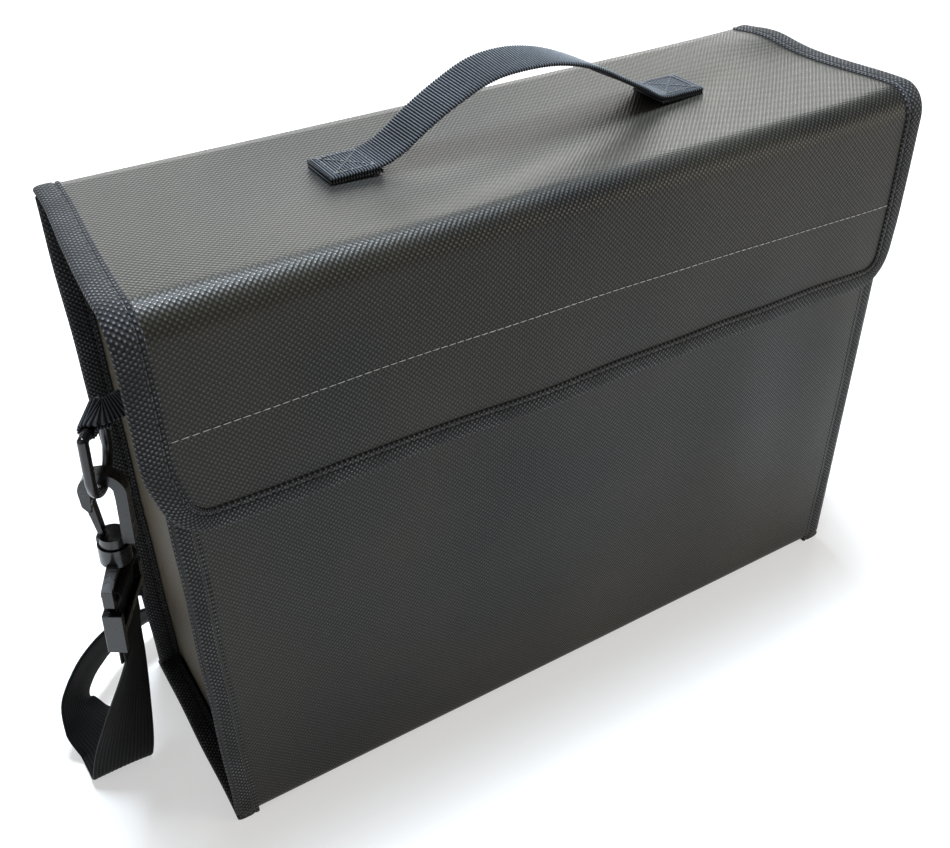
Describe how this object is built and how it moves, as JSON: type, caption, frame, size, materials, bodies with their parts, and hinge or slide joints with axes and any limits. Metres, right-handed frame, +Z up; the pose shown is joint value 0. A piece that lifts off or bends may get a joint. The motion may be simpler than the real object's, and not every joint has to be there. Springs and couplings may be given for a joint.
{
  "type": "lipo safe bag",
  "caption": "Boxy fire-resistant cloth bag for model batteries, with a fold-back lid, hook-and-loop flap, carrying handle and clip-on shoulder strap.",
  "frame": {"origin": "on the floor under the middle of the bag's bounding box, without the strap", "axes": "+X to the right seen from the front, +Y to the back (the flap faces -Y), +Z up"},
  "size_m": [0.5266, 0.211, 0.331],
  "materials": {
    "coated_cloth": "silicone-coated woven glass-fibre cloth, fine weave with a slight sheen",
    "lining_cloth": "matt woven glass-fibre cloth",
    "binding_tape": "matt black twill tape",
    "webbing": "ribbed black polypropylene webbing",
    "fastener_nylon": "matt black hook-and-loop nylon",
    "stitching_thread": "pale grey sewing thread",
    "moulded_plastic": "black moulded acetal, slightly glossy"
  },
  "bodies": {
    "bag": {"front_panel": "coated_cloth", "bottom_panel": "coated_cloth", "back_panel": "coated_cloth", "left_side_panel": "coated_cloth", "right_side_panel": "coated_cloth", "front_lining": "lining_cloth", "bottom_lining": "lining_cloth", "back_lining": "lining_cloth", "left_lining": "lining_cloth", "right_lining": "lining_cloth", "front_left_binding": "binding_tape", "front_right_binding": "binding_tape", "back_left_binding": "binding_tape", "back_right_binding": "binding_tape", "bottom_left_binding": "binding_tape", "bottom_right_binding": "binding_tape", "front_mouth_binding": "binding_tape", "left_mouth_binding": "binding_tape", "right_mouth_binding": "binding_tape", "loop_strip": "fastener_nylon", "loop_strip_stitching": "stitching_thread", "left_ring_tab": "webbing", "right_ring_tab": "webbing", "left_tab_stitching": "stitching_thread", "right_tab_stitching": "stitching_thread", "shoulder_strap": "webbing"},
    "lid": {"lid_panel": "coated_cloth", "lid_lining": "lining_cloth", "lid_left_binding": "binding_tape", "lid_right_binding": "binding_tape", "handle_left_end": "webbing", "handle_right_end": "webbing", "handle_stitching": "stitching_thread"},
    "flap": {"flap_panel": "coated_cloth", "flap_lining": "lining_cloth", "flap_binding": "binding_tape", "hook_strip": "fastener_nylon", "flap_stitching": "stitching_thread"},
    "handle": {"handle_arch": "webbing"},
    "left_ring": {"left_d_ring": "moulded_plastic"},
    "left_hook": {"left_snap_hook": "moulded_plastic"},
    "left_gate": {"left_hook_gate": "moulded_plastic"},
    "left_swivel": {"left_swivel_base": "moulded_plastic", "left_strap_end": "webbing"},
    "left_slider": {"left_strap_slider": "moulded_plastic"},
    "right_ring": {"right_d_ring": "moulded_plastic"},
    "right_hook": {"right_snap_hook": "moulded_plastic"},
    "right_gate": {"right_hook_gate": "moulded_plastic"},
    "right_swivel": {"right_swivel_base": "moulded_plastic", "right_strap_end": "webbing"},
    "right_slider": {"right_strap_slider": "moulded_plastic"}
  },
  "joints": [
    {"name": "lid_hinge", "type": "hinge", "parent": "bag", "child": "lid", "pos_m": [0, 0.064, 0.3], "axis": [-1, 0, 0], "range_deg": [0, 200]},
    {"name": "flap_hinge", "type": "hinge", "parent": "lid", "child": "flap", "pos_m": [0, -0.066, 0.286], "axis": [-1, 0, 0], "range_deg": [0, 95]},
    {"name": "handle_lean", "type": "hinge", "parent": "lid", "child": "handle", "pos_m": [0.012, 0.013, 0.308], "axis": [1, 0, 0], "range_deg": [-35, 35], "stiffness_Nm_per_rad": 0.02},
    {"name": "left_ring_swing", "type": "hinge", "parent": "bag", "child": "left_ring", "pos_m": [-0.213, -0.002, 0.221], "axis": [0.5, 0.866, 0], "range_deg": [-6, 27]},
    {"name": "left_hook_turn", "type": "hinge", "parent": "left_ring", "child": "left_hook", "pos_m": [-0.21712, 0.00038, 0.15297], "axis": [0.0604, -0.0349, 0.9976], "range_deg": [-12, 12]},
    {"name": "left_swivel_turn", "type": "hinge", "parent": "left_hook", "child": "left_swivel", "pos_m": [-0.21712, 0.00038, 0.15297], "axis": [0.0604, -0.0349, 0.9976], "range_deg": [-12, 12]},
    {"name": "left_gate_press", "type": "hinge", "parent": "left_hook", "child": "left_gate", "pos_m": [-0.22043, 0.00229, 0.15855], "axis": [0.5, 0.866, 0], "range_deg": [0, 20], "stiffness_Nm_per_rad": 0.05, "springref_deg": -5.73},
    {"name": "left_slider_slide", "type": "slide", "parent": "left_swivel", "child": "left_slider", "axis": [0.0604, -0.0349, 0.9976], "range_m": [-0.012, 0.0025]},
    {"name": "right_ring_swing", "type": "hinge", "parent": "bag", "child": "right_ring", "pos_m": [0.213, -0.002, 0.221], "axis": [0.5, -0.866, 0], "range_deg": [-6, 27]},
    {"name": "right_hook_turn", "type": "hinge", "parent": "right_ring", "child": "right_hook", "pos_m": [0.21712, 0.00038, 0.15297], "axis": [0.0604, 0.0349, -0.9976], "range_deg": [-12, 12]},
    {"name": "right_swivel_turn", "type": "hinge", "parent": "right_hook", "child": "right_swivel", "pos_m": [0.21712, 0.00038, 0.15297], "axis": [0.0604, 0.0349, -0.9976], "range_deg": [-12, 12]},
    {"name": "right_gate_press", "type": "hinge", "parent": "right_hook", "child": "right_gate", "pos_m": [0.22043, 0.00229, 0.15855], "axis": [0.5, -0.866, 0], "range_deg": [0, 20], "stiffness_Nm_per_rad": 0.05, "springref_deg": -5.73},
    {"name": "right_slider_slide", "type": "slide", "parent": "right_swivel", "child": "right_slider", "axis": [-0.0604, -0.0349, 0.9976], "range_m": [-0.012, 0.0025]}
  ],
  "couplings": [
    {"joint": "left_swivel_turn", "follows": "left_hook_turn", "ratio": -1},
    {"joint": "right_swivel_turn", "follows": "right_hook_turn", "ratio": -1}
  ]
}
